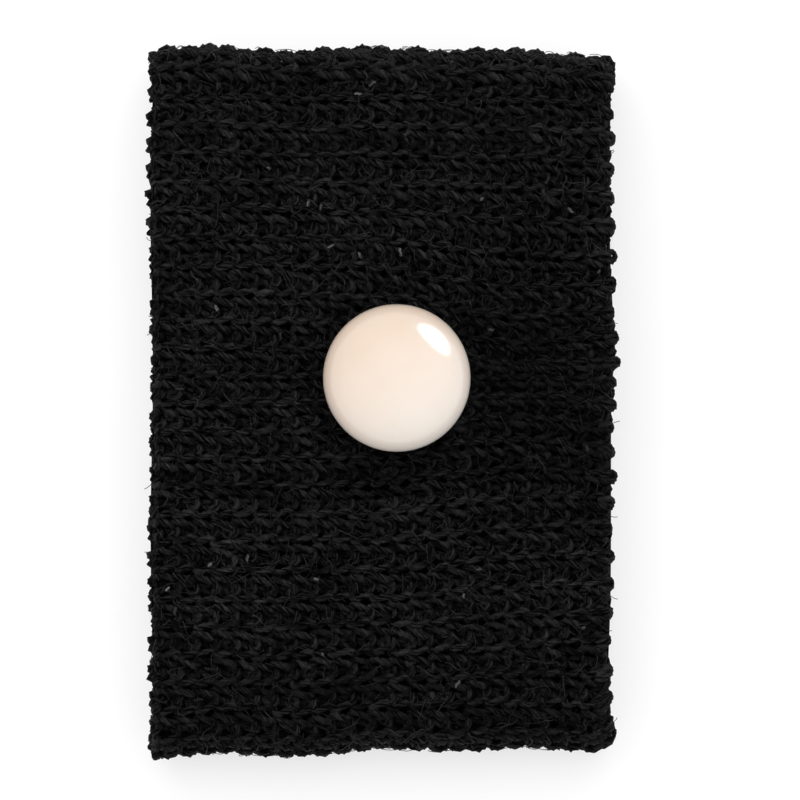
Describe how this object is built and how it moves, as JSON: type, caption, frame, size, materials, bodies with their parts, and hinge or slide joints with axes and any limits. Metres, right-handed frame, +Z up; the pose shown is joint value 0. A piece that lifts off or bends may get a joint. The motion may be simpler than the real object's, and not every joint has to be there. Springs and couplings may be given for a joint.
{
  "type": "knitted wristband with pressure stud",
  "caption": "Elastic rib-knitted wristband lying flat, a short open tube with a round domed plastic stud snapped through its front face.",
  "frame": {"origin": "middle of the flat underside that the band rests on, midway between the two folds and the two open edges", "axes": "+Z up out of the upper face, the way the stud points; X along the knitted tube from one open edge to the other; +Y from fold to fold, towards the fold that the stud is nearer"},
  "size_m": [0.0392, 0.06, 0.0149],
  "materials": {
    "knit": "black multifilament rib knit, matte with a faint filament sheen",
    "elastic": "black covered elastic yarn",
    "edge_chain": "black chain of yarn loops",
    "stud": "glossy pale cream, faintly warm"
  },
  "bodies": {
    "back_half": {"knit_back": "knit", "elastic_back_01": "elastic", "elastic_back_02": "elastic", "elastic_back_03": "elastic", "elastic_back_04": "elastic", "elastic_back_05": "elastic", "elastic_back_06": "elastic", "elastic_back_07": "elastic", "elastic_back_08": "elastic", "elastic_back_09": "elastic", "elastic_back_10": "elastic", "elastic_back_11": "elastic", "edge_chain_left_back": "edge_chain", "edge_chain_right_back": "edge_chain"},
    "front_half": {"knit_front": "knit", "elastic_front_01": "elastic", "elastic_front_02": "elastic", "elastic_front_03": "elastic", "elastic_front_04": "elastic", "elastic_front_05": "elastic", "elastic_front_06": "elastic", "elastic_front_07": "elastic", "elastic_front_08": "elastic", "elastic_front_09": "elastic", "elastic_front_10": "elastic", "elastic_front_11": "elastic", "edge_chain_left_front": "edge_chain", "edge_chain_right_front": "edge_chain"},
    "stud": {"stud_dome": "stud", "stud_backing_disc": "stud"}
  },
  "joints": [
    {"name": "band_stretch", "type": "slide", "parent": "back_half", "child": "front_half", "axis": [0, 0, 1], "range_m": [0, 0.022], "stiffness_N_per_m": 350},
    {"name": "stud_turn", "type": "hinge", "parent": "front_half", "child": "stud", "pos_m": [0.0013, 0.0019, 0.01], "axis": [0, 0, 1], "continuous": true}
  ]
}
